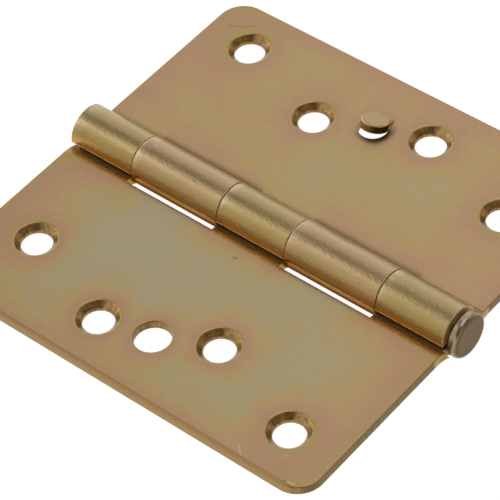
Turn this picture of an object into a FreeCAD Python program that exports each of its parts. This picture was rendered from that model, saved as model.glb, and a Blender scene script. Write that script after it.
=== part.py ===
import FreeCAD, Part

import math
import os

Vector = FreeCAD.Vector

# Security stud hinge: two steel leaves with a zigzag of countersunk screw holes, rolled into five
# knuckles round one fixed pin. A stud lanced from one leaf locks into a hole in the other.
# The pin's axis is X, halfway along the hinge is x = 0, and +Z is out of the countersunk faces.
# Sizes are in millimetres.

# Plates
leaf_length = 100.0
leaf_width = 50.5
sheet = 2.0
corner_radius = 6.0
edge_round = 0.4

# Gap between the two faces when the hinge is shut
shut_gap = 1.0

# Bend from the plate down into the barrel, and the slot that the rolled loop leaves
bend_radius = 8.0
loop_gap = 0.8
loop_end_round = 0.3

# Pin with its head
pin_radius = 3.5
pin_recess = 0.3
pin_chamfer = 0.4
head_radius = 5.15
head_thickness = 2.25
head_face_round = 1.1
head_back_break = 0.35
head_gap = 0.75

# Knuckles: three on the front leaf, two on the stud leaf
end_knuckle = 16.8
middle_knuckle = 17.8
knuckle_gap = 0.25
running_clearance = 0.05
barrel_setback = 0.8
notch_clearance = 1.6
relief_clearance = 0.1

# Screw holes
screw_pitch = 25.0
screw_row_near = 30.6
screw_row_far = 39.2
screw_hole_radius = 3.45
countersink_radius = 4.75
countersink_half_angle = 45.0
countersink_break = 0.15

# Security stud: a round slug on a neck that turns sharply up at its fold and eases back at its crest
stud_row = 36.16
stud_radius = 3.2
stud_slot = 0.15
stud_edge_round = 0.45
neck_width = 4.8
fold_radius = 0.2
crest_radius = 0.1
neck_length = 4.4
fold_angle = 65.0
tip_angle = 20.0

# Plain hole in the other leaf, which the leaning stud enters
stud_clearance = 0.8
stud_hole_offset = 0.49
stud_hole_round = 0.4

# Sizes that follow from the ones above
barrel_length = leaf_length - barrel_setback
overall_length = barrel_length + head_gap + head_thickness
left = -overall_length / 2
right = left + leaf_length
barrel_right = left + barrel_length
stud_knuckle = (barrel_length - 2 * end_knuckle - middle_knuckle - 4 * knuckle_gap) / 2
middle_left = left + end_knuckle + stud_knuckle + 2 * knuckle_gap
middle_right = middle_left + middle_knuckle
face_level = -shut_gap / 2
back_level = face_level - sheet
front_bore = pin_radius
stud_bore = pin_radius + running_clearance
stud_middle = (left + right) / 2
first_screw = stud_middle - 1.5 * screw_pitch
reach = 2 * leaf_width

FRONT = -1
BACK = 1


def slab(x_low, x_high, y_low, y_high, z_low, z_high):
    corner = Vector(x_low, y_low, z_low)
    return Part.makeBox(x_high - x_low, y_high - y_low, z_high - z_low, corner)


def section_point(side, centre, radius, angle):
    out = centre[0] + radius * math.cos(angle)
    up = centre[1] + radius * math.sin(angle)
    return Vector(left, side * out, up)


def section_arc(side, centre, radius, start, end):
    first = section_point(side, centre, radius, start)
    halfway = section_point(side, centre, radius, (start + end) / 2)
    last = section_point(side, centre, radius, end)
    return Part.Arc(first, halfway, last).toShape()


def straight(first, last):
    return Part.LineSegment(first, last).toShape()


def rolled_sheet(side, bore):
    """Plate, bend and rolled loop of one leaf, as a single section drawn along the pin."""
    outside = bore + sheet
    bend_drop = bend_radius - back_level
    bend_out = math.sqrt((outside + bend_radius) ** 2 - bend_drop ** 2)
    bend_centre = (bend_out, -bend_drop)
    pin_centre = (0.0, 0.0)
    towards_bend = -math.atan2(bend_drop, bend_out)
    towards_pin = towards_bend + math.pi

    # The loop stops where its end stands loop_gap off the bend that it comes back to
    span = outside + bend_radius
    end_distance = bend_radius + sheet + loop_gap
    opening = math.acos((outside ** 2 + span ** 2 - end_distance ** 2) / (2 * outside * span))
    loop_end = towards_bend - 2 * math.pi + opening

    edge_top = Vector(left, side * leaf_width, face_level)
    edge_back = Vector(left, side * leaf_width, back_level)
    bend_back = section_point(side, bend_centre, bend_radius, math.pi / 2)
    bend_top = section_point(side, bend_centre, bend_radius + sheet, math.pi / 2)
    round_reach = outside - loop_end_round
    round_angle = loop_end + math.asin(loop_end_round / round_reach)
    round_start = section_point(side, pin_centre, outside, round_angle)
    round_end = section_point(side, pin_centre, round_reach * math.cos(round_angle - loop_end), loop_end)
    round_centre = (round_reach * math.cos(round_angle), round_reach * math.sin(round_angle))
    halfway = (round_angle + loop_end - math.pi / 2) / 2
    round_middle = section_point(side, round_centre, loop_end_round, halfway)
    end_inner = section_point(side, pin_centre, bore, loop_end)
    outline = [
        straight(edge_top, edge_back),
        straight(edge_back, bend_back),
        section_arc(side, bend_centre, bend_radius, math.pi / 2, towards_pin),
        section_arc(side, pin_centre, outside, towards_bend, round_angle),
        Part.Arc(round_start, round_middle, round_end).toShape(),
        straight(round_end, end_inner),
        section_arc(side, pin_centre, bore, loop_end, towards_bend),
        section_arc(side, bend_centre, bend_radius + sheet, towards_pin, math.pi / 2),
        straight(bend_top, edge_top),
    ]
    section = Part.Face(Part.Wire(outline))
    return section.extrude(Vector(leaf_length, 0, 0))


def rounded_outline(side):
    """Prism over the leaf's plan, with its two outer corners rounded."""
    inner = side * (bend_radius + sheet)
    prism = slab(left, right, min(-inner, side * leaf_width), max(-inner, side * leaf_width), -reach, reach)
    corners = [
        edge
        for edge in prism.Edges
        if abs(edge.CenterOfMass.y - side * leaf_width) < 1e-6 and edge.BoundBox.ZLength > reach
    ]
    return prism.makeFillet(corner_radius, corners)


def notch(side, x_low, x_high, outside):
    """Finger notch for a knuckle of the other leaf."""
    depth = side * (outside + notch_clearance)
    return slab(x_low, x_high, min(-depth, depth), max(-depth, depth), -reach, reach)


def round_top_edges(leaf, side):
    """Soft edge of the stamping, along both ends and the outer side of the plate's top face."""
    edges = []
    for edge in leaf.Edges:
        box = edge.BoundBox
        on_face = abs(box.ZMin - face_level) < 1e-5 and abs(box.ZMax - face_level) < 1e-5
        middle = edge.CenterOfMass
        at_end = abs(middle.x - left) < 1e-5 or abs(middle.x - right) < 1e-5
        at_side = abs(middle.y - side * leaf_width) < 1e-5
        at_corner = abs(middle.y) > leaf_width - corner_radius and box.XLength < 1.01 * corner_radius
        if on_face and (at_end or at_side or at_corner):
            edges.append(edge)
    return leaf.makeFillet(edge_round, edges)


def turned(x, y, outline):
    """Solid of revolution from an outline in the XZ plane, set upright with z = 0 at the face."""
    solid = Part.Face(Part.Wire(outline)).revolve(Vector(0, 0, 0), Vector(0, 0, 1), 360)
    solid.translate(Vector(x, y, face_level))
    return solid


def chain(points):
    return [straight(points[index], points[index + 1]) for index in range(len(points) - 1)]


def countersunk_cutter(x, y):
    """Screw hole: straight land to the back, cone above it, and a fine break at the rim."""
    tilt = math.radians(countersink_half_angle)
    depth = (countersink_radius - screw_hole_radius) / math.tan(tilt)
    on_cone = Vector(
        countersink_radius - countersink_break * math.sin(tilt),
        0,
        -countersink_break * math.cos(tilt),
    )
    points = [
        Vector(0, 0, -2 * sheet),
        Vector(screw_hole_radius, 0, -2 * sheet),
        Vector(screw_hole_radius, 0, -depth),
        on_cone,
        Vector(countersink_radius + countersink_break, 0, 0),
        Vector(countersink_radius + countersink_break, 0, sheet),
        Vector(0, 0, sheet),
        Vector(0, 0, -2 * sheet),
    ]
    return turned(x, y, chain(points))


def plain_cutter(x, y, radius, rim_round):
    """Punched hole, whose rim is drawn down to a soft round."""
    rim = radius + rim_round
    wall_top = Vector(radius, 0, -rim_round)
    face_edge = Vector(rim, 0, 0)
    halfway = Vector(rim - rim_round * math.sqrt(0.5), 0, rim_round * (math.sqrt(0.5) - 1))
    outline = chain([Vector(0, 0, -2 * sheet), Vector(radius, 0, -2 * sheet), wall_top])
    outline.append(Part.Arc(wall_top, halfway, face_edge).toShape())
    outline += chain([face_edge, Vector(rim, 0, sheet), Vector(0, 0, sheet), Vector(0, 0, -2 * sheet)])
    return turned(x, y, outline)


def screw_holes(side):
    """Four countersunk holes in a zigzag; the second leaf's is the first's turned half round."""
    rows = [screw_row_near, screw_row_far]
    if side == BACK:
        rows.reverse()
    return [
        countersunk_cutter(first_screw + index * screw_pitch, side * rows[index % 2])
        for index in range(4)
    ]


def stud_profile():
    """Places along the stud's middle plane: fold, both arc centres, and the raised slug's centre."""
    half = sheet / 2
    rise = math.radians(fold_angle)
    tip = math.radians(tip_angle)
    first = fold_radius + half
    second = crest_radius + half
    flat = neck_length - first * rise - second * (rise - tip)
    run = first * math.sin(rise) + second * (math.sin(rise) - math.sin(tip)) + flat * math.cos(tip)
    fold = stud_row + run
    middle_level = (face_level + back_level) / 2
    first_centre = (fold, middle_level + first)
    knee = (fold - first * math.sin(rise), first_centre[1] - first * math.cos(rise))
    second_centre = (knee[0] - second * math.sin(rise), knee[1] - second * math.cos(rise))
    crest = (second_centre[0] + second * math.sin(tip), second_centre[1] + second * math.cos(tip))
    centre = (crest[0] - flat * math.cos(tip), crest[1] + flat * math.sin(tip))
    return fold, first_centre, second_centre, centre


def stud_slug():
    """Round slug that stands off the face on its neck, on the side away from the pin."""
    fold, first_centre, second_centre, middle = stud_profile()
    half = sheet / 2
    rise = math.radians(fold_angle)
    tip = math.radians(tip_angle)
    along = Vector(0, -math.cos(tip), math.sin(tip))
    normal = Vector(0, math.sin(tip), math.cos(tip))
    centre = Vector(stud_middle, middle[0], middle[1])

    def first_at(radius, angle):
        across, up = first_centre
        return Vector(0, across - radius * math.sin(angle), up - radius * math.cos(angle))

    def second_at(radius, angle):
        across, up = second_centre
        return Vector(0, across + radius * math.sin(angle), up + radius * math.cos(angle))

    def arc(at, radius, start, end):
        return Part.Arc(at(radius, start), at(radius, (start + end) / 2), at(radius, end)).toShape()

    root = fold + sheet
    fold_inner, fold_outer = fold_radius, fold_radius + sheet
    crest_inner, crest_outer = crest_radius, crest_radius + sheet
    beyond = Vector(0, middle[0], middle[1]) + along * (stud_radius + half)
    top_end = beyond + normal * half
    back_end = beyond - normal * half
    outline = [
        straight(Vector(0, root, back_level), Vector(0, root, face_level)),
        straight(Vector(0, root, face_level), first_at(fold_inner, 0)),
        arc(first_at, fold_inner, 0, rise),
        arc(second_at, crest_outer, rise, tip),
        straight(second_at(crest_outer, tip), top_end),
        straight(top_end, back_end),
        straight(back_end, second_at(crest_inner, tip)),
        arc(second_at, crest_inner, tip, rise),
        arc(first_at, fold_outer, rise, 0),
        straight(first_at(fold_outer, 0), Vector(0, root, back_level)),
    ]
    strip = Part.Face(Part.Wire(outline)).extrude(Vector(2 * stud_radius + 2 * sheet, 0, 0))
    strip.translate(Vector(stud_middle - stud_radius - sheet, 0, 0))

    # The slug's round edge stands square to its own slope
    round_edge = Part.makeCylinder(stud_radius, 4 * sheet, centre - normal * (2 * sheet), normal)
    slug = strip.common(round_edge)
    rim = []
    for edge in slug.Edges:
        from_centre = edge.valueAt((edge.FirstParameter + edge.LastParameter) / 2) - centre
        height = from_centre.dot(normal)
        off_axis = (from_centre - normal * height).Length
        if abs(height - half) < 1e-4 and abs(off_axis - stud_radius) < 1e-4:
            rim.append(edge)
    slug = slug.makeFillet(stud_edge_round, rim)
    half_neck = neck_width / 2
    within = stud_row + stud_radius / 2
    neck = slab(stud_middle - half_neck, stud_middle + half_neck, within, root, -reach, reach)
    return slug.fuse(strip.common(neck))


def stud_window():
    """Hole that the slug leaves, with a slit along each side of the neck as far as the fold."""
    fold = stud_profile()[0]
    radius = stud_radius + stud_slot
    row = fold - neck_length
    hole = Part.makeCylinder(radius, 4 * sheet, Vector(stud_middle, row, back_level - sheet))
    half_neck = neck_width / 2 + stud_slot
    slits = slab(stud_middle - half_neck, stud_middle + half_neck, row, fold, back_level - sheet, sheet)
    return hole.fuse(slits)


def front_leaf():
    outside = front_bore + sheet
    leaf = rolled_sheet(FRONT, front_bore)
    leaf = leaf.common(rounded_outline(FRONT))
    relief = Part.makeCylinder(
        outside + relief_clearance, leaf_length, Vector(barrel_right, 0, 0), Vector(1, 0, 0)
    )
    leaf = leaf.cut(relief)
    other_outside = stud_bore + sheet
    for x_low, x_high in (
        (left + end_knuckle, middle_left),
        (middle_right, barrel_right - end_knuckle),
    ):
        leaf = leaf.cut(notch(FRONT, x_low, x_high, other_outside))
    leaf = round_top_edges(leaf, FRONT)
    for cutter in screw_holes(FRONT):
        leaf = leaf.cut(cutter)
    hole_row = stud_row + stud_hole_offset
    return leaf.cut(plain_cutter(stud_middle, FRONT * hole_row, stud_radius + stud_clearance, stud_hole_round))


def stud_leaf():
    leaf = rolled_sheet(BACK, stud_bore)
    leaf = leaf.common(rounded_outline(BACK))
    other_outside = front_bore + sheet
    for x_low, x_high in (
        (left - 1, left + end_knuckle + knuckle_gap),
        (middle_left - knuckle_gap, middle_right + knuckle_gap),
        (barrel_right - end_knuckle - knuckle_gap, right + 1),
    ):
        leaf = leaf.cut(notch(BACK, x_low, x_high, other_outside))
    leaf = round_top_edges(leaf, BACK)
    for cutter in screw_holes(BACK):
        leaf = leaf.cut(cutter)
    leaf = leaf.cut(stud_window())
    return leaf.fuse(stud_slug()).removeSplitter()


def hinge_pin():
    """Shank with a chamfered end and a thick button head, turned about the barrel's axis."""
    tail = left + pin_recess
    back = barrel_right + head_gap
    face = back + head_thickness
    shoulder = face - head_face_round
    face_rim = head_radius - head_face_round
    halfway = head_face_round * math.sqrt(0.5)
    bulge = Vector(shoulder + halfway, 0, face_rim + halfway)
    start = Vector(tail, 0, 0)
    outline = chain([
        start,
        Vector(tail, 0, pin_radius - pin_chamfer),
        Vector(tail + pin_chamfer, 0, pin_radius),
        Vector(back, 0, pin_radius),
        Vector(back, 0, head_radius - head_back_break),
        Vector(back + head_back_break, 0, head_radius),
        Vector(shoulder, 0, head_radius),
    ])
    outline.append(Part.Arc(Vector(shoulder, 0, head_radius), bulge, Vector(face, 0, face_rim)).toShape())
    outline += chain([Vector(face, 0, face_rim), Vector(face, 0, 0), start])
    profile = Part.Face(Part.Wire(outline))
    return profile.revolve(Vector(0, 0, 0), Vector(1, 0, 0), 360)


os.makedirs("parts", exist_ok=True)
nodes = {
    "front_leaf": front_leaf(),
    "stud_leaf": stud_leaf(),
    "hinge_pin": hinge_pin(),
}
for name, shape in nodes.items():
    solid = shape.Solids[0] if len(shape.Solids) == 1 else shape
    print(name, "solids", len(shape.Solids), "valid", shape.isValid(), "volume", round(shape.Volume, 1))
    solid.exportStep("parts/" + name + ".step")
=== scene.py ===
import math
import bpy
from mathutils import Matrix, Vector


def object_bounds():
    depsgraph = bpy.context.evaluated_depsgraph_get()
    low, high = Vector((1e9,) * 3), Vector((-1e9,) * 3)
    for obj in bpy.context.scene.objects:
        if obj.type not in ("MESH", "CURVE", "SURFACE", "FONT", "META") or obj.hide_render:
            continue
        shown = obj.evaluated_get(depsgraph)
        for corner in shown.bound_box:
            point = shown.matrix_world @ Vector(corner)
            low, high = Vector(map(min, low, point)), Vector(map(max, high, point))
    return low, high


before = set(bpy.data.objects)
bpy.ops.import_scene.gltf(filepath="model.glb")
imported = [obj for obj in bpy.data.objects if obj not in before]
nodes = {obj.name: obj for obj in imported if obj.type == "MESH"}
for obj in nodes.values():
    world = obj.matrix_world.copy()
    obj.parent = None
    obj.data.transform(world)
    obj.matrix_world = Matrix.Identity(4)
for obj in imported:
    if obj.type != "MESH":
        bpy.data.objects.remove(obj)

from types import SimpleNamespace

import bpy
from mathutils import Matrix, Vector

cad_box = [list(corner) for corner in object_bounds()]

# Sizes of the hinge that its finish follows, in millimetres
LEAF_MIDDLE = -1.1
HALF_LENGTH = 50.0
LEFT = LEAF_MIDDLE - HALF_LENGTH
LEAF_WIDTH = 50.5
FACE_LEVEL = -0.5
SCREW_PITCH = 25.0
ROW_NEAR = 30.6
ROW_FAR = 39.2
SCREW_RADIUS = 4.75
STUD_ROW = 35.6
STUD_RADIUS = 3.4
WINDOW_ROW = 36.16
PLAIN_ROW = 36.65
PLAIN_RADIUS = 4.0
ROOT = 7.5
HEAD_START = 48.9

# A millimetre in the scene's metres
MILLIMETRE = 0.001

# Radius over which the edges of a leaf and of the pin look rounded, in millimetres
LEAF_SOFTENING = 0.32
PIN_SOFTENING = 0.15

WHITE = (1.0, 1.0, 1.0)

# Colours of the thin yellow film on the flat, from where it is thinnest to where it is thickest
FILM = [
    (0.00, (0.355, 0.300, 0.190)),
    (0.20, (0.362, 0.296, 0.165)),
    (0.40, (0.388, 0.281, 0.127)),
    (0.60, (0.394, 0.249, 0.139)),
    (0.78, (0.374, 0.235, 0.136)),
    (0.92, (0.355, 0.255, 0.108)),
    (1.00, (0.335, 0.240, 0.088)),
]

# The same film round the barrel, from its top to its underside, with painted light in it: paler near the top
# as a painted highlight, and orange just above halfway down as a painted reflection of the leaf
BARREL_FILM_AND_LIGHT = [
    (0.00, (0.335, 0.250, 0.124)),
    (0.05, (0.352, 0.264, 0.128)),
    (0.11, (0.398, 0.302, 0.148)),
    (0.26, (0.365, 0.262, 0.098)),
    (0.36, (0.345, 0.225, 0.072)),
    (0.43, (0.480, 0.268, 0.070)),
    (0.50, (0.520, 0.300, 0.092)),
    (0.56, (0.320, 0.195, 0.070)),
    (1.00, (0.340, 0.240, 0.110)),
]

# Sheared walls and countersinks, by how torn they are
DARK_WALL = [(0.32, (0.120, 0.072, 0.026)), (0.68, (0.205, 0.128, 0.048))]
LIGHT_WALL = [(0.32, (0.285, 0.172, 0.058)), (0.68, (0.385, 0.240, 0.088))]
CONE = [(0.34, (0.205, 0.108, 0.036)), (0.66, (0.425, 0.272, 0.108))]

# Clouding of the pin's head: its face, and its rim
HEAD_FACE = [
    (0.32, (0.095, 0.058, 0.016)),
    (0.45, (0.138, 0.064, 0.022)),
    (0.58, (0.116, 0.070, 0.018)),
    (0.72, (0.175, 0.096, 0.044)),
]
HEAD_RIM = [
    (0.30, (0.19, 0.165, 0.095)),
    (0.50, (0.30, 0.245, 0.170)),
    (0.70, (0.45, 0.390, 0.305)),
]

# Single colours of the plating, and of the light and shade painted on it
# Painted highlight at the knuckles' left ends
KNUCKLE_END_HIGHLIGHT = (0.620, 0.520, 0.330)
# Painted light on the walls by the knuckles
KNUCKLE_WALL_PAINTED_LIGHT = (0.520, 0.340, 0.130)
# Painted shade on the stud's right wall, and painted highlights on its rim, left wall and neck
STUD_SHADE = (0.055, 0.030, 0.009)
STUD_HIGHLIGHT = (0.700, 0.500, 0.240)
STUD_NECK_HIGHLIGHT = (1.000, 0.760, 0.380)
# Painted shade round the stud's window
DRAWN_DOWN_SHADE = (0.130, 0.074, 0.022)
# Painted shade and reflection on the rolled-over upper edge of the side
ROLLOVER_SHADE_LINE = (0.200, 0.138, 0.040)
ROLLOVER_REFLECTION = (0.370, 0.225, 0.080)
# Painted light in the slots and the gaps between the knuckles
SLOT_PAINTED_LIGHT = (0.230, 0.126, 0.036)
KNUCKLE_GAP_PAINTED_LIGHT = (0.640, 0.390, 0.140)
# Bright bare metal, which on edges and burrs is also painted highlight
BARE_METAL_AND_HIGHLIGHT = (0.74, 0.56, 0.32)
SCORED = (0.170, 0.130, 0.055)
# Painted shade on the barrel's shine underneath
UNDERSIDE_SHADE_TINT = (0.25, 0.15, 0.07)
SHANK = (0.330, 0.200, 0.078)

# Bands in which one look gives way to the next, in millimetres out from the pin's axis
BEND_TINT = (5.6, 6.3)
BEND_END = (6.6, 8.9)
KNUCKLE_CUT = (8.2, 9.6)
PLATE_CUT = (9.2, 9.8)
STUD_START = (25.0, 26.0)
NECK_START = (37.8, 38.6)
NECK_END = (41.0, 42.0)
SIDE_CUT = (48.0, 49.0)

# Way from the window to its open side, on the leaf
OPEN_SIDE = (0.66, -0.75, 0.0)


class Graph:
    """Short way to write a shader's node tree."""

    def __init__(self, tree):
        self.tree = tree
        tree.nodes.clear()

    def node(self, kind, inputs=None, **settings):
        made = self.tree.nodes.new(kind)
        for name, value in settings.items():
            setattr(made, name, value)
        for key, value in (inputs or {}).items():
            self.feed(made.inputs[key], value)
        return made

    def feed(self, socket, value):
        if isinstance(value, bpy.types.NodeSocket):
            self.tree.links.new(value, socket)
        else:
            socket.default_value = value

    def math(self, operation, *values, clamp=False):
        made = self.node("ShaderNodeMath", operation=operation, use_clamp=clamp)
        for socket, value in zip(made.inputs, values):
            self.feed(socket, value)
        return made.outputs[0]

    def vector(self, operation, *values, out=0):
        made = self.node("ShaderNodeVectorMath", operation=operation)
        for socket, value in zip(made.inputs, values):
            self.feed(socket, value)
        return made.outputs[out]

    def parts(self, vector):
        """The x, y and z of a vector."""
        return self.node("ShaderNodeSeparateXYZ", {"Vector": vector}).outputs

    def several(self, operation, values):
        """All the values, joined by one operation."""
        total = values[0]
        for value in values[1:]:
            total = self.math(operation, total, value)
        return total

    def times(self, *values):
        return self.several("MULTIPLY", values)

    def most(self, *values):
        return self.several("MAXIMUM", values)

    def added(self, value, share, base, clamp=False):
        """The base with a share of the value added."""
        return self.math("MULTIPLY_ADD", value, share, base, clamp=clamp)

    def apart(self, first, second):
        """How far two values are from each other."""
        return self.math("ABSOLUTE", self.math("SUBTRACT", first, second))

    def flip(self, value, clamp=False):
        """1 less the value."""
        return self.math("SUBTRACT", 1.0, value, clamp=clamp)

    def noise(self, place, size, detail=2.0, roughness=0.5, stretch=(1, 1, 1), shift=(0, 0, 0)):
        """Noise between 0 and 1, whose grains are about size millimetres."""
        moved = self.vector("ADD", place, shift)
        scaled = self.vector("MULTIPLY", moved, stretch)
        made = self.node(
            "ShaderNodeTexNoise",
            {"Vector": scaled, "Scale": 1.0 / size, "Detail": detail, "Roughness": roughness},
        )
        return made.outputs["Fac"]

    def sway(self, *sizes, **settings):
        """The same noise, swaying to both sides of 0."""
        return self.math("SUBTRACT", self.noise(*sizes, **settings), 0.5)

    def falloff(self, distance, reach):
        """1 at no distance, falling smoothly towards 0 over a few times reach."""
        kept = self.math("MAXIMUM", distance, 0.0)
        return self.math("EXPONENT", self.math("DIVIDE", kept, -reach))

    def above(self, value, low, high):
        """0 below low, 1 above high, smooth between."""
        made = self.node(
            "ShaderNodeMapRange",
            {"Value": value, "From Min": low, "From Max": high},
            interpolation_type="SMOOTHSTEP",
        )
        return made.outputs["Result"]

    def below(self, value, low, high):
        """1 below low, 0 above high, smooth between."""
        return self.flip(self.above(value, low, high))

    def ramp(self, value, stops):
        made = self.node("ShaderNodeValToRGB", {"Fac": value})
        ramp = made.color_ramp
        while len(ramp.elements) < len(stops):
            ramp.elements.new(0.5)
        for element, (position, colour) in zip(ramp.elements, stops):
            element.position = position
            element.color = (*colour, 1.0)
        return made.outputs["Color"]

    def mix(self, amount, first, second, blend="MIX"):
        """Blend of two colours, each a socket or three numbers."""
        made = self.node("ShaderNodeMix", data_type="RGBA", blend_type=blend)
        self.feed(made.inputs[0], amount)
        for socket, colour in ((made.inputs[6], first), (made.inputs[7], second)):
            self.feed(socket, (*colour, 1.0) if isinstance(colour, tuple) else colour)
        return made.outputs[2]

    def tinted(self, first, second):
        """One colour multiplied by another."""
        return self.mix(1.0, first, second, "MULTIPLY")


def new_material(name):
    material = bpy.data.materials.new(name)
    material.use_nodes = True
    return material, Graph(material.node_tree)


def object_place(graph):
    """Place on the part in millimetres, the same at every pose."""
    coordinates = graph.node("ShaderNodeTexCoord").outputs["Object"]
    return graph.vector("MULTIPLY", coordinates, [1.0 / MILLIMETRE] * 3)


def true_normal(graph):
    return graph.node("ShaderNodeNewGeometry").outputs["True Normal"]


def normal_on_part(graph):
    """Flat normal of the surface, the same at every pose."""
    return graph.node(
        "ShaderNodeVectorTransform",
        {"Vector": true_normal(graph)},
        vector_type="NORMAL",
        convert_from="WORLD",
        convert_to="OBJECT",
    ).outputs[0]


def softened_normal(graph, radius):
    """Normal of the surface with its edges rounded over a radius in millimetres."""
    return graph.node("ShaderNodeBevel", {"Radius": radius * MILLIMETRE}, samples=6).outputs[0]


def edge_of(graph, soft_normal):
    """1 at an edge, where the softened normal leaves the flat one, and 0 away from it."""
    alike = graph.vector("DOT_PRODUCT", true_normal(graph), soft_normal, out=1)
    return graph.above(graph.flip(alike), 0.03, 0.16)


def scratch(graph, flat, start, end, width):
    """Soft-edged line between two places on the plate."""
    first = Vector((*start, 0.0))
    run = Vector((*end, 0.0)) - first
    away = graph.vector("SUBTRACT", flat, first)
    along = graph.vector("DOT_PRODUCT", away, run / run.length_squared, out=1)
    along = graph.math("MULTIPLY", along, 1.0, clamp=True)
    foot = graph.node("ShaderNodeVectorMath", {0: run}, operation="SCALE")
    graph.feed(foot.inputs["Scale"], along)
    distance = graph.vector("DISTANCE", away, foot.outputs[0], out=1)
    return graph.below(distance, width * 0.3, width)


def leaf_places(graph, leaf):
    """Where on the leaf a point lies and which way it faces, with its distances in millimetres."""
    place = object_place(graph)
    x, y, z = graph.parts(place)
    out = graph.math("MULTIPLY", y, float(leaf.side))
    flat = graph.vector("MULTIPLY", place, (1, 1, 0))
    soft_normal = softened_normal(graph, LEAF_SOFTENING)
    facing = graph.parts(normal_on_part(graph))
    endways, sideways, upright = [graph.math("ABSOLUTE", part) for part in facing]
    ahead = graph.math("MAXIMUM", graph.math("SUBTRACT", out, ROOT), 0.0)
    to_holes = []
    for hole_x, hole_y, radius in leaf.holes:
        away = graph.vector("DISTANCE", flat, (hole_x, hole_y, 0.0), out=1)
        to_holes.append(graph.math("SUBTRACT", away, radius))
    to_knuckles = []
    for low, high in leaf.knuckles:
        across = graph.apart(x, (low + high) / 2)
        beside = graph.math("MAXIMUM", graph.math("SUBTRACT", across, (high - low) / 2), 0.0)
        squares = graph.math("ADD", graph.times(beside, beside), graph.times(ahead, ahead))
        to_knuckles.append(graph.math("SQRT", squares))
    return SimpleNamespace(
        place=place,
        x=x,
        z=z,
        out=out,
        flat=flat,
        soft_normal=soft_normal,
        edge=edge_of(graph, soft_normal),
        facing=facing,
        endways=endways,
        sideways=sideways,
        upright=upright,
        turn=graph.math("DIVIDE", graph.math("ABSOLUTE", graph.math("ARCTAN2", y, z)), math.pi),
        radial=graph.vector("LENGTH", graph.vector("MULTIPLY", place, (0, 1, 1)), out=1),
        on_barrel=graph.below(out, *BEND_END),
        to_end=graph.math("SUBTRACT", HALF_LENGTH, graph.apart(x, LEAF_MIDDLE)),
        to_side=graph.math("SUBTRACT", LEAF_WIDTH, out),
        to_hole=graph.several("MINIMUM", to_holes),
        to_knuckle=graph.several("MINIMUM", to_knuckles),
    )


def film_colour(graph, at, leaf):
    """Film on the plate and round the barrel, with the streaks that rolling left, and painted highlights and
    reflection round the barrel and at the knuckles' left ends.
    """
    # The bath lays the film thicker at ends, edges, hole rims and the roots of the knuckles
    wander = graph.sway(at.place, 18.0, 3.0, 0.55, shift=leaf.shift)
    ripple = graph.sway(at.place, 5.0, 3.0, 0.6, shift=leaf.shift)
    drawn = graph.sway(at.place, 2.2, 3.0, 0.6, stretch=(0.16, 1, 1), shift=leaf.shift)
    fine = graph.sway(at.place, 0.8, 4.0, 0.7, shift=leaf.shift)
    loose = graph.added(ripple, 2.5, graph.times(wander, 10.0))
    tight = graph.times(loose, 0.3)
    end_gain, side_gain, hole_gain, root_gain = leaf.film_gains
    gaps = []
    for distance, strays, reach, gain in (
        (at.to_end, loose, 9.0, end_gain),
        (at.to_side, tight, 4.0, side_gain),
        (at.to_hole, tight, 3.2, hole_gain),
        (at.to_knuckle, tight, 4.2, root_gain),
    ):
        thick = graph.times(graph.falloff(graph.math("ADD", distance, strays), reach), gain)
        gaps.append(graph.flip(thick, clamp=True))
    film = graph.math("SUBTRACT", 1.0 + leaf.film_base, graph.times(*gaps))
    for part, share in ((wander, 0.55), (ripple, 0.42), (drawn, 0.30), (fine, 0.24)):
        film = graph.added(part, share, film)
    plate_colour = graph.ramp(film, FILM)

    # Round the barrel the film follows the roll, in streaks along it, and its colours hold painted light
    streak = graph.sway(at.place, 1.2, 4.0, 0.65, stretch=(0.12, 1, 1), shift=leaf.shift)
    around = at.turn
    for part, share in ((streak, 0.16), (ripple, 0.08), (fine, 0.05)):
        around = graph.added(part, share, around)
    rolled = graph.tinted(graph.ramp(around, BARREL_FILM_AND_LIGHT), leaf.rolled_tint)
    rolled = graph.tinted(rolled, graph.mix(graph.above(at.out, *BEND_TINT), WHITE, leaf.bend_tint))
    by_knuckle = graph.below(at.to_knuckle, 1.4, 2.6)
    colour = graph.mix(graph.times(at.on_barrel, by_knuckle), plate_colour, rolled)

    # Painted highlight on each knuckle's upper side near its left end, where it meets its neighbour
    from_ends = [graph.apart(at.x, low) for low, high in leaf.knuckles]
    left_end_highlight = graph.times(
        graph.falloff(graph.several("MINIMUM", from_ends), 1.1),
        at.on_barrel,
        graph.below(at.turn, 0.22, 0.42),
        graph.above(graph.noise(at.place, 1.8, 3.0, 0.6, shift=leaf.shift), 0.30, 0.62),
    )
    return graph.mix(graph.times(left_end_highlight, 0.8), colour, KNUCKLE_END_HIGHLIGHT), streak


def cut_colour(graph, at, leaf, colour):
    """Sheared walls and countersinks, browner than the rolled faces."""
    # The walls of the ends are darker than those of the sides
    beyond = graph.most(graph.above(at.out, *PLATE_CUT), graph.above(at.endways, 0.7, 0.9))
    sheared = graph.times(graph.below(at.upright, 0.30, 0.62), beyond)
    tears = graph.noise(at.place, 0.7, 3.0, 0.6, stretch=(1, 1, 0.15), shift=leaf.shift)
    lit = graph.most(graph.above(at.out, *SIDE_CUT), leaf.wall_light)
    lit = graph.times(lit, graph.above(at.sideways, 0.55, 0.85))
    wall = graph.mix(lit, graph.ramp(tears, DARK_WALL), graph.ramp(tears, LIGHT_WALL))
    # The walls by the knuckles are paler, as painted light in the gaps between them
    wall = graph.mix(graph.below(at.out, *KNUCKLE_CUT), wall, KNUCKLE_WALL_PAINTED_LIGHT)
    colour = graph.mix(graph.times(sheared, 0.9), colour, wall)

    # Countersinks are streaked by the tool that cut them
    coned = graph.times(graph.below(at.upright, 0.74, 0.84), graph.below(at.to_hole, -0.15, 0.25))
    return graph.mix(graph.times(coned, 0.9), colour, graph.ramp(tears, CONE)), sheared


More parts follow.
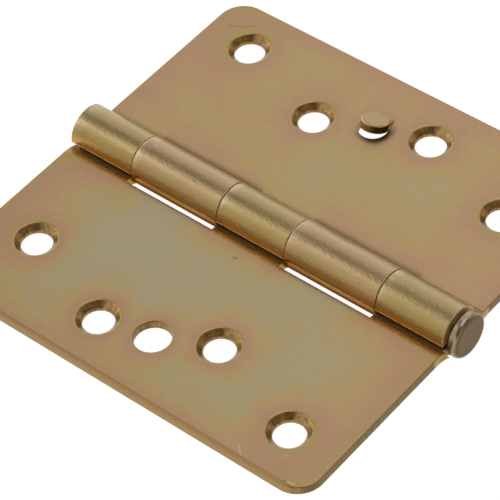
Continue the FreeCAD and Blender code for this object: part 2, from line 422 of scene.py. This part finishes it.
def stud_colour(graph, at, leaf, colour):
    """The raised stud, with painted highlights on its rim, left wall and neck, and painted shade on its right
    wall.
    """
    raised = graph.times(
        graph.above(at.z, FACE_LEVEL + 0.15, FACE_LEVEL + 0.45), graph.above(at.out, *STUD_START)
    )
    rim = graph.times(graph.below(graph.apart(at.upright, 0.62), 0.12, 0.34), raised)
    left_wall = graph.times(graph.below(at.facing[0], -0.75, -0.45), raised)
    neck = graph.times(
        graph.above(at.out, *NECK_START),
        graph.below(at.out, *NECK_END),
        graph.below(graph.apart(at.x, LEAF_MIDDLE), 3.2, 3.6),
        graph.below(at.upright, 0.3, 0.6),
        float(leaf.side > 0),
    )
    right_wall = graph.times(
        graph.above(at.facing[0], -0.25, 0.60),
        graph.below(at.upright, 0.42, 0.60),
        raised,
        graph.flip(neck),
    )
    # Painted shade on the right wall, then painted highlights on the rim, left wall and neck
    colour = graph.mix(graph.times(right_wall, 0.75), colour, STUD_SHADE)
    colour = graph.mix(graph.times(graph.most(rim, left_wall, neck), 0.75), colour, STUD_HIGHLIGHT)
    colour = graph.mix(graph.times(neck, 0.9), colour, STUD_NECK_HIGHLIGHT)
    if leaf.side < 0:
        return colour, left_wall, neck

    # Painted shade on the open side of the window that the stud was lanced from, where the leaf is drawn down
    from_window = graph.vector("SUBTRACT", at.flat, (LEAF_MIDDLE, WINDOW_ROW, 0.0))
    off_window = graph.vector("LENGTH", from_window, out=1)
    way = graph.vector("NORMALIZE", from_window)
    drawn_down_shade = graph.times(
        graph.above(graph.vector("DOT_PRODUCT", way, OPEN_SIDE, out=1), -0.05, 0.75),
        graph.below(off_window, 3.9, 5.7),
        graph.below(at.z, FACE_LEVEL + 0.05, FACE_LEVEL + 0.2),
    )
    return graph.mix(graph.times(drawn_down_shade, 0.95), colour, DRAWN_DOWN_SHADE), left_wall, neck


def rollover_colour(graph, at, leaf, colour):
    """Painted shade and reflection on the side's upper edge, rolled over as it was sheared: a dark line and
    an orange band.
    """
    line = graph.times(graph.above(at.to_side, 0.50, 0.72), graph.below(at.to_side, 0.80, 1.05))
    colour = graph.mix(graph.times(line, 0.65 * leaf.wall_light), colour, ROLLOVER_SHADE_LINE)
    over = graph.below(at.to_side, 0.45, 0.68)
    return graph.mix(graph.times(over, 0.7 * leaf.wall_light), colour, ROLLOVER_REFLECTION)


def slot_colour(graph, at, colour):
    """Painted light in the slot under the loops and between the knuckles, where little light comes: a dull
    film whose colour stands in for the light seen there.
    """
    slot = graph.times(
        graph.above(at.facing[2], 0.05, 0.30),
        graph.below(at.z, -0.45, -0.30),
        graph.below(at.radial, 5.7, 6.8),
    )
    between = graph.times(
        graph.above(at.endways, 0.7, 0.9),
        graph.above(at.x, LEFT + 1, LEFT + 2),
        graph.below(at.radial, 5.6, 6.4),
    )
    colour = graph.mix(graph.times(slot, 0.85), colour, SLOT_PAINTED_LIGHT)
    return graph.mix(graph.times(between, 0.85), colour, KNUCKLE_GAP_PAINTED_LIGHT), graph.most(slot, between)


def wear_colour(graph, at, leaf, colour):
    """Worn edges, nicks and the burr along the loop's end, all of brighter metal, and dark scores. On the
    edges and the burr the bright metal is also painted highlight.
    """
    patchy = graph.above(graph.noise(at.place, 1.6, 3.0, 0.55, shift=leaf.shift), 0.28, 0.60)
    burr = graph.times(
        graph.above(at.z, -0.42, -0.22),
        graph.below(at.z, 0.10, 0.38),
        graph.above(at.out, 4.8, 5.0),
        graph.below(at.out, 5.55, 5.65),
        graph.above(graph.noise(at.place, 1.1, 3.0, 0.6, shift=leaf.shift), 0.25, 0.50),
    )
    nicks = [graph.times(scratch(graph, at.flat, *line), 0.34) for line in leaf.nicks]
    nicked = graph.most(graph.times(burr, 0.85), *nicks)
    worn_and_highlight = graph.times(at.edge, patchy, 0.6)
    colour = graph.mix(graph.most(worn_and_highlight, nicked), colour, BARE_METAL_AND_HIGHLIGHT)
    scored = graph.most(*[scratch(graph, at.flat, *line) for line in leaf.scores])
    scored = graph.times(scored, patchy)
    return graph.mix(graph.times(scored, 0.6), colour, SCORED), burr, nicked, scored


def plated_sheet(name, leaf):
    """Yellow film on one leaf, over the grain of the rolled steel, with painted light and shade."""
    material, graph = new_material(name)
    at = leaf_places(graph, leaf)
    colour, streak = film_colour(graph, at, leaf)
    colour, sheared = cut_colour(graph, at, leaf, colour)
    colour, left_wall, neck = stud_colour(graph, at, leaf, colour)
    colour = rollover_colour(graph, at, leaf, colour)
    colour, slots = slot_colour(graph, at, colour)
    colour, burr, nicked, scored = wear_colour(graph, at, leaf, colour)

    # Grain of the rolled steel under the plating
    grain = graph.noise(at.place, 0.30, 3.0, 0.6, stretch=(0.25, 1, 1), shift=leaf.shift)
    speck = graph.noise(at.place, 0.55, 2.0, 0.5, shift=(7.0, 3.0, 1.0))
    level = graph.math("ADD", graph.times(grain, 0.6), graph.times(speck, 0.4))
    grainy = graph.math("SUBTRACT", level, 0.5)
    shade = graph.added(grainy, 0.34, 1.0)
    grey = graph.node("ShaderNodeCombineColor", {0: shade, 1: shade, 2: shade}).outputs[0]
    colour = graph.tinted(colour, grey)

    # Rolling leaves fine ridges on the barrel, which the plate doesn't have
    ridges = graph.noise(at.place, 0.42, 3.0, 0.65, stretch=(0.45, 1, 1), shift=leaf.shift)
    ridges = graph.times(ridges, graph.added(streak, 3.0, 2.2))
    height = graph.added(scored, -1.0, level)
    height = graph.added(graph.times(ridges, at.on_barrel), 3.6, height)
    normal = at.soft_normal
    for strength, distance, relief in ((0.16, 0.00006, height), (1.0, 0.00012, burr)):
        bump = {"Strength": strength, "Distance": distance, "Height": relief, "Normal": normal}
        normal = graph.node("ShaderNodeBump", bump).outputs[0]
    rough = graph.added(grainy, 0.16, 0.30)
    rough = graph.added(at.on_barrel, -0.09, rough)
    rough = graph.added(sheared, 0.12, rough)
    rough = graph.added(nicked, 0.15, rough, clamp=True)

    # The neck, the stud's left wall and the slots are dull, so that the light painted on them shows, and the
    # barrel's shine underneath is tinted down as painted shade
    dull = graph.most(neck, slots, graph.times(left_wall, 0.8))
    under = graph.times(graph.above(at.turn, 0.49, 0.53), at.on_barrel)
    shader = graph.node(
        "ShaderNodeBsdfPrincipled",
        {
            "Base Color": colour,
            "Metallic": graph.added(dull, -0.65, 1.0),
            "Roughness": rough,
            "Normal": normal,
            "Specular Tint": graph.mix(under, WHITE, UNDERSIDE_SHADE_TINT),
        },
    )
    graph.node("ShaderNodeOutputMaterial", {"Surface": shader.outputs[0]})
    return material


def plated_pin(name):
    """Bright plated rim, a duller clouded face where the head was formed, and a dark shank."""
    material, graph = new_material(name)
    place = object_place(graph)
    soft_normal = softened_normal(graph, PIN_SOFTENING)
    ahead = graph.math("ABSOLUTE", graph.parts(normal_on_part(graph))[0])
    cloud = graph.noise(place, 2.6, 4.0, 0.65, shift=(5.0, 9.0, 2.0))
    on_face = graph.above(ahead, 0.50, 0.97)
    colour = graph.mix(on_face, graph.ramp(cloud, HEAD_RIM), graph.ramp(cloud, HEAD_FACE))
    shank = graph.below(graph.parts(place)[0], HEAD_START - 0.2, HEAD_START)
    colour = graph.mix(shank, colour, SHANK)
    dents = graph.noise(place, 0.8, 3.0, 0.6, shift=(1.0, 4.0, 8.0))
    bump = graph.node(
        "ShaderNodeBump",
        {"Strength": 0.12, "Distance": 0.0001, "Height": dents, "Normal": soft_normal},
    ).outputs[0]
    rough = graph.added(dents, 0.14, 0.12)
    rough = graph.added(on_face, 0.16, rough)
    shader = graph.node(
        "ShaderNodeBsdfPrincipled",
        {"Base Color": colour, "Metallic": 1.0, "Roughness": rough, "Normal": bump},
    )
    graph.node("ShaderNodeOutputMaterial", {"Surface": shader.outputs[0]})
    return material


def dress(node, material):
    mesh = node.data
    mesh.materials.clear()
    mesh.materials.append(material)


def screw_row(first_row, second_row, side):
    places = []
    for index in range(4):
        row = first_row if index % 2 == 0 else second_row
        places.append((LEAF_MIDDLE + (index - 1.5) * SCREW_PITCH, side * row, SCREW_RADIUS))
    return places


# The two leaves. side is the way along y that the leaf lies, film_base the film in the middle of
# the plate, and film_gains what its ends, side, holes and knuckle roots add. wall_light is how
# light the side's wall is. nicks and scores have a start, an end and a width in millimetres, and
# shift moves the noise, so that the leaves differ.
FRONT_LEAF = SimpleNamespace(
    side=-1,
    holes=screw_row(ROW_NEAR, ROW_FAR, -1) + [(LEAF_MIDDLE, -PLAIN_ROW, PLAIN_RADIUS)],
    knuckles=[(LEFT, LEFT + 16.8), (LEFT + 40.7, LEFT + 58.5), (LEFT + 82.4, LEFT + 99.2)],
    film_base=0.02,
    film_gains=(0.92, 0.85, 0.95, 0.80),
    rolled_tint=WHITE,
    bend_tint=WHITE,
    wall_light=1.0,
    nicks=[
        ((30.7, -47.8), (32.7, -49.4), 0.2),
        ((39.8, -44.5), (40.1, -44.5), 0.25),
        ((44.2, -49.2), (45.5, -48.9), 0.35),
    ],
    scores=[
        ((-1.5, -10.6), (-0.8, -10.6), 0.45),
        ((43.2, -49.5), (43.9, -49.4), 0.35),
    ],
    shift=(3.0, 11.0, 5.0),
)
STUD_LEAF = SimpleNamespace(
    side=1,
    holes=screw_row(ROW_FAR, ROW_NEAR, 1) + [(LEAF_MIDDLE, STUD_ROW, STUD_RADIUS)],
    knuckles=[(LEFT + 17.05, LEFT + 40.45), (LEFT + 58.75, LEFT + 82.15)],
    film_base=0.32,
    film_gains=(0.45, 0.50, 0.60, 0.45),
    rolled_tint=(1.07, 1.02, 1.22),
    bend_tint=(0.40, 0.47, 0.50),
    wall_light=0.0,
    nicks=[],
    scores=[
        ((-47.9, 43.2), (-46.5, 42.7), 0.28),
        ((-46.5, 42.7), (-43.9, 43.7), 0.28),
        ((-43.9, 43.7), (-42.0, 45.9), 0.28),
    ],
    shift=(31.0, 2.0, 17.0),
)

dress(nodes["front_leaf"], plated_sheet("front_plating", FRONT_LEAF))
dress(nodes["stud_leaf"], plated_sheet("stud_plating", STUD_LEAF))
dress(nodes["hinge_pin"], plated_pin("pin_plating"))

# Floor: white to the camera and in reflections, with a share of real shading for the shadow
FLOOR_REACH = 3.0
FLOOR_DROP = 0.0001
FLOOR_PAINT = (0.85, 0.85, 0.85, 1.0)
FLOOR_GLOW = 1.2
FLOOR_GLOW_SHARE = 0.8


def floor_material():
    material, graph = new_material("floor_white")
    path = graph.node("ShaderNodeLightPath").outputs
    seen = graph.most(path["Is Camera Ray"], path["Is Glossy Ray"], path["Is Transmission Ray"])
    paint = graph.node("ShaderNodeBsdfDiffuse", {"Color": FLOOR_PAINT})
    glow = graph.node("ShaderNodeEmission", {"Color": (*WHITE, 1.0), "Strength": FLOOR_GLOW})
    mixed = graph.node("ShaderNodeMixShader")
    graph.feed(mixed.inputs[0], graph.times(seen, FLOOR_GLOW_SHARE))
    graph.feed(mixed.inputs[1], paint.outputs[0])
    graph.feed(mixed.inputs[2], glow.outputs[0])
    graph.node("ShaderNodeOutputMaterial", {"Surface": mixed.outputs[0]})
    return material


def make_floor():
    size = FLOOR_REACH
    level = cad_box[0][2] - FLOOR_DROP
    mesh = bpy.data.meshes.new("floor")
    corners = [(-size, -size, level), (size, -size, level), (size, size, level), (-size, size, level)]
    mesh.from_pydata(corners, [], [(0, 1, 2, 3)])
    mesh.materials.append(floor_material())
    floor = bpy.data.objects.new("floor", mesh)
    bpy.context.scene.collection.objects.link(floor)


# Studio: strips of soft light along the barrel, by the angle from upright in degrees, with a dark
# strip overhead
STRIP_LEVELS = [
    (-180, 0.60),
    (-100, 0.70),
    (-86, 0.78),
    (-66, 0.92),
    (-46, 0.97),
    (-34, 1.04),
    (-23, 1.04),
    (-10, 0.56),
    (0, 0.42),
    (11, 0.42),
    (21, 0.78),
    (29, 1.06),
    (46, 1.06),
    (62, 1.24),
    (76, 1.16),
    (92, 0.90),
    (130, 0.75),
    (180, 0.60),
]
STRIP_MIDDLE = 0.477
STRIP_SKEW = math.radians(60.0)

# Soft windows added to the strips. Two are round: the way to them, their outer and inner reach in
# degrees, and their level. The left one fades in between two shares of x, and has its level too.
OVERHEAD = (Vector((0.12, 0.10, 0.985)), 26.0, 12.0, 1.0)
FRONT_WINDOW = (Vector((-0.60, -0.40, 0.70)), 14.0, 5.0, 0.55)
LEFT_WINDOW = (-0.88, -0.68, 0.75)

# The studio is dim on the photographer's side: the way there, its reach in degrees, and the share
# of light left there
CAMERA_SIDE = (Vector((0.682, -0.187, 0.708)), 60.0, 41.0)
CAMERA_SIDE_SHARE = (0.31, 0.26, 0.20)


def warmed(level):
    """Half the studio's colour at a light level, warmer where it is dark."""
    gloom = max(0.0, 1.0 - level)
    return (level / 2, level / 2 * (1.0 - 0.16 * gloom), level / 2 * (1.0 - 0.40 * gloom))


def cone_of(graph, direction, axis, outer, inner):
    """1 within inner degrees of the axis, 0 beyond outer degrees."""
    nearness = graph.vector("DOT_PRODUCT", direction, axis.normalized(), out=1)
    return graph.above(nearness, math.cos(math.radians(outer)), math.cos(math.radians(inner)))


def make_world():
    world = bpy.data.worlds.new("studio")
    bpy.context.scene.world = world
    world.use_nodes = True
    graph = Graph(world.node_tree)
    direction = graph.node("ShaderNodeTexCoord").outputs["Generated"]
    x, y, height = graph.parts(direction)
    angle = graph.math("ARCTAN2", y, height)
    angle = graph.added(graph.math("ADD", x, STRIP_MIDDLE), STRIP_SKEW, angle)
    stops = [(degrees / 360 + 0.5, warmed(level)) for degrees, level in STRIP_LEVELS]
    around = graph.ramp(graph.added(angle, 0.5 / math.pi, 0.5), stops)
    shaded = graph.times(cone_of(graph, direction, *CAMERA_SIDE), graph.above(height, 0.22, 0.42))
    around = graph.tinted(around, graph.mix(shaded, WHITE, CAMERA_SIDE_SHARE))
    lamps = 0.0
    for *window, level in (OVERHEAD, FRONT_WINDOW):
        lamps = graph.added(cone_of(graph, direction, *window), level / 2, lamps)
    low, high, level = LEFT_WINDOW
    lamps = graph.added(graph.below(x, low, high), level / 2, lamps)
    added_light = graph.node("ShaderNodeCombineXYZ", {0: lamps, 1: lamps, 2: lamps}).outputs[0]
    around = graph.vector("ADD", around, added_light)

    # The levels above are halves, which the strength doubles, and the camera sees plain white
    seen = graph.node("ShaderNodeLightPath").outputs["Is Camera Ray"]
    background = graph.node("ShaderNodeBackground")
    graph.feed(background.inputs["Color"], graph.mix(seen, around, WHITE))
    graph.feed(background.inputs["Strength"], graph.math("SUBTRACT", 2.0, seen))
    graph.node("ShaderNodeOutputWorld", {"Surface": background.outputs[0]})


make_floor()
make_world()

# Camera at the photograph's angle: turn about the vertical, height angle and tilt of the frame
TURN = math.radians(44.646)
HEIGHT = math.radians(47.234)
TILT = math.radians(-6.830)
AIM = Vector((51.033 - 51.1, -7.073, -0.526)) * MILLIMETRE
DISTANCE = 0.57894
FOCAL_PIXELS = 2814.98
FRAME_PIXELS = 500
SENSOR = 36.0


def make_camera():
    level = Vector((math.cos(TURN), math.sin(TURN), 0))
    ahead = Vector((-math.sin(TURN) * math.cos(HEIGHT), math.cos(TURN) * math.cos(HEIGHT), -math.sin(HEIGHT)))
    upward = Vector((-math.sin(TURN) * math.sin(HEIGHT), math.cos(TURN) * math.sin(HEIGHT), math.cos(HEIGHT)))
    right = level * math.cos(TILT) + upward * math.sin(TILT)
    above = upward * math.cos(TILT) - level * math.sin(TILT)
    camera = bpy.data.cameras.new("camera")
    camera.sensor_width = SENSOR
    camera.lens = FOCAL_PIXELS * SENSOR / FRAME_PIXELS
    camera.clip_start = 0.01
    viewer = bpy.data.objects.new("camera", camera)
    turned = Matrix((right, above, -ahead)).transposed().to_4x4()
    viewer.matrix_world = Matrix.Translation(AIM - ahead * DISTANCE) @ turned
    bpy.context.scene.collection.objects.link(viewer)
    bpy.context.scene.camera = viewer


make_camera()
bpy.context.scene.view_settings.view_transform = "Standard"
